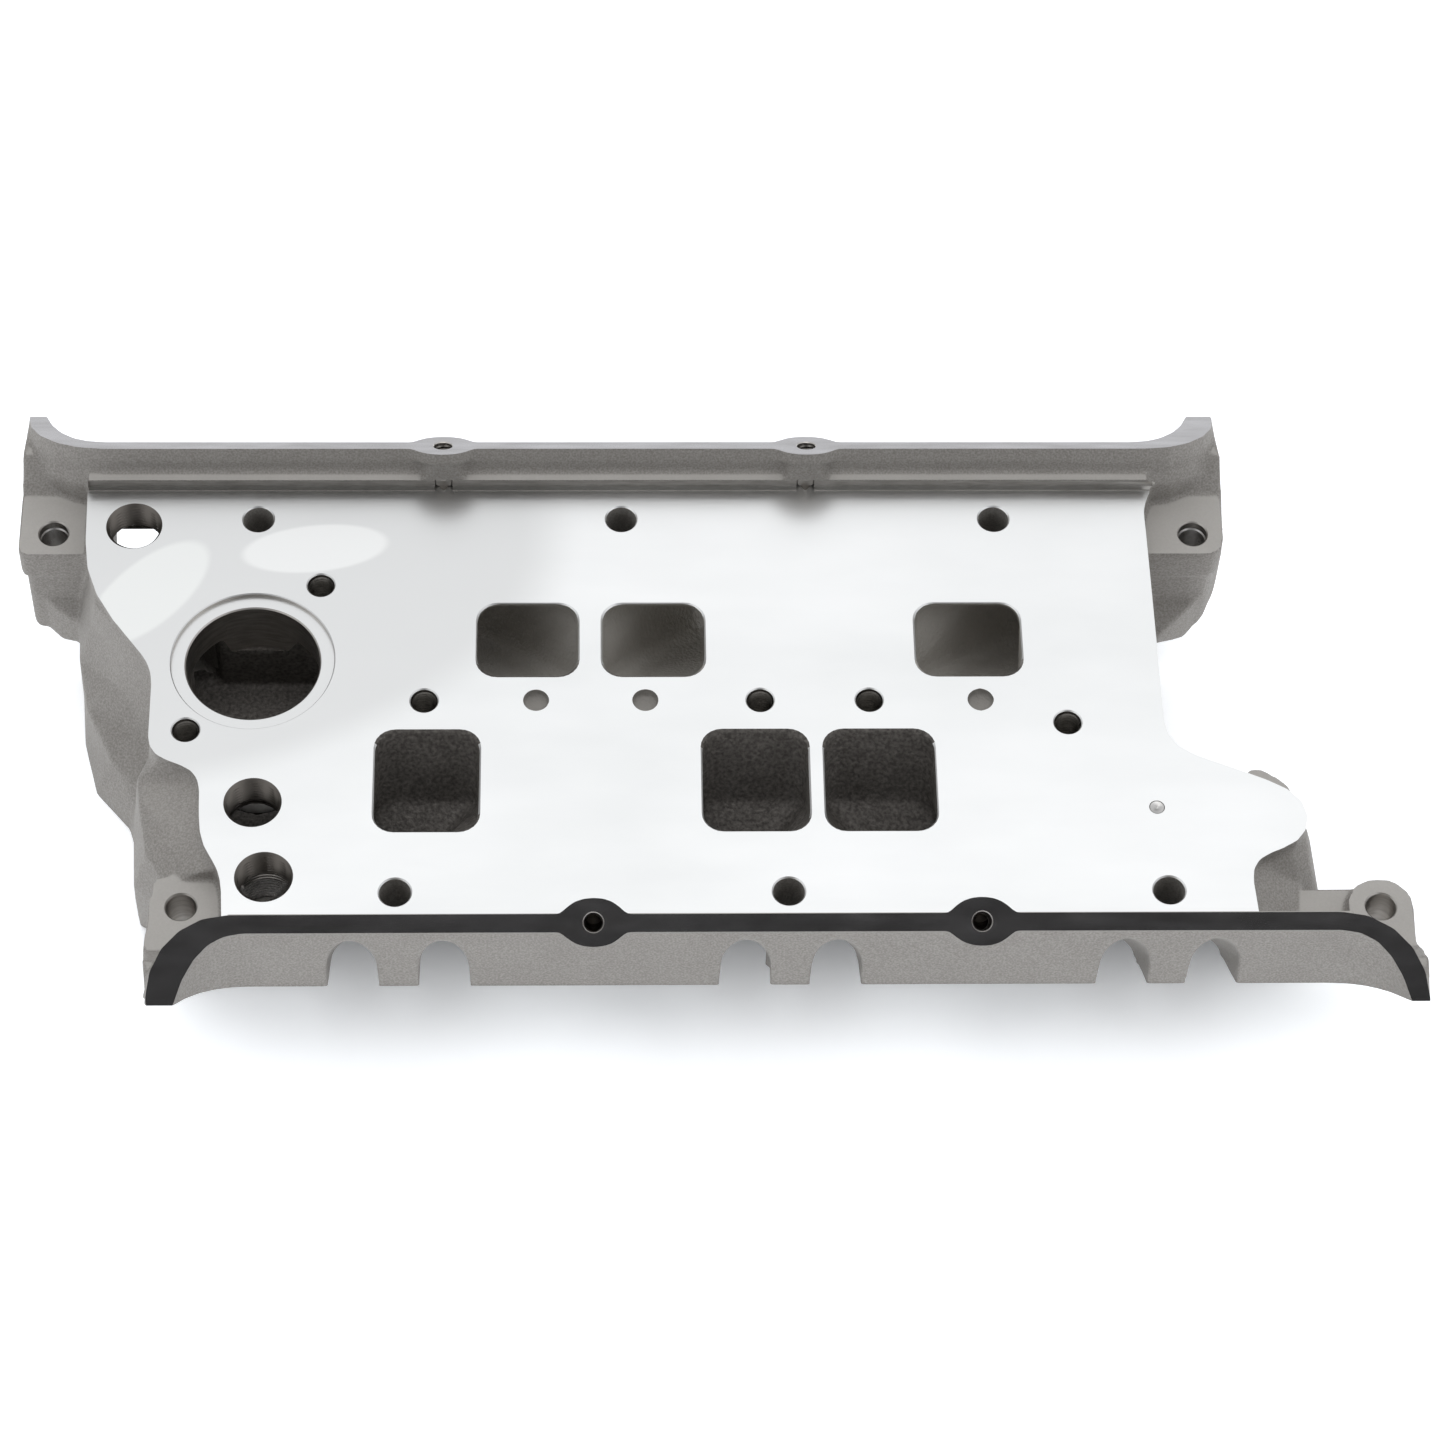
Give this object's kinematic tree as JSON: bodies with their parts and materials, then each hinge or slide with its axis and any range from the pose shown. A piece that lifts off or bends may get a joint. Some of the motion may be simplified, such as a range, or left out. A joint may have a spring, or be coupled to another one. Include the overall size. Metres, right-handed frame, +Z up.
{
  "type": "intake manifold",
  "caption": "Lower intake manifold of a V6 with a machined deck, runner ports, rocker-cover rails and a thermostat well.",
  "frame": {"origin": "centre of the box's bottom, between the feet that stand on the block", "axes": "+X along the engine, the thermostat well at the -X end; +Y to the rear bank; +Z up, square to the deck"},
  "size_m": [0.4146, 0.2094, 0.0764],
  "materials": {
    "cast_aluminium": "as-cast, with milled faces",
    "insert_steel": "drawn stainless wire",
    "dowel_steel": "ground",
    "plug_steel": "pressed, dull zinc",
    "shield_steel": "zinc-coated sheet",
    "rivet_steel": "plain"
  },
  "bodies": {
    "root": {"core_plug_heater_passage": "plug_steel", "core_plug_thermostat_well": "plug_steel", "deck_pin": "dowel_steel", "dowel_sleeve_left": "dowel_steel", "dowel_sleeve_right": "dowel_steel", "manifold_casting": "cast_aluminium", "shield_rivet_1": "rivet_steel", "shield_rivet_2": "rivet_steel", "shield_rivet_3": "rivet_steel", "shield_rivet_4": "rivet_steel", "splash_shield": "shield_steel", "thread_insert_bracket": "insert_steel", "thread_insert_front_rail_1": "insert_steel", "thread_insert_front_rail_2": "insert_steel", "thread_insert_plenum_1": "insert_steel", "thread_insert_plenum_2": "insert_steel", "thread_insert_plenum_3": "insert_steel", "thread_insert_rear_rail_1": "insert_steel", "thread_insert_rear_rail_2": "insert_steel", "thread_insert_thermostat_1": "insert_steel", "thread_insert_thermostat_2": "insert_steel"}
  },
  "joints": []
}
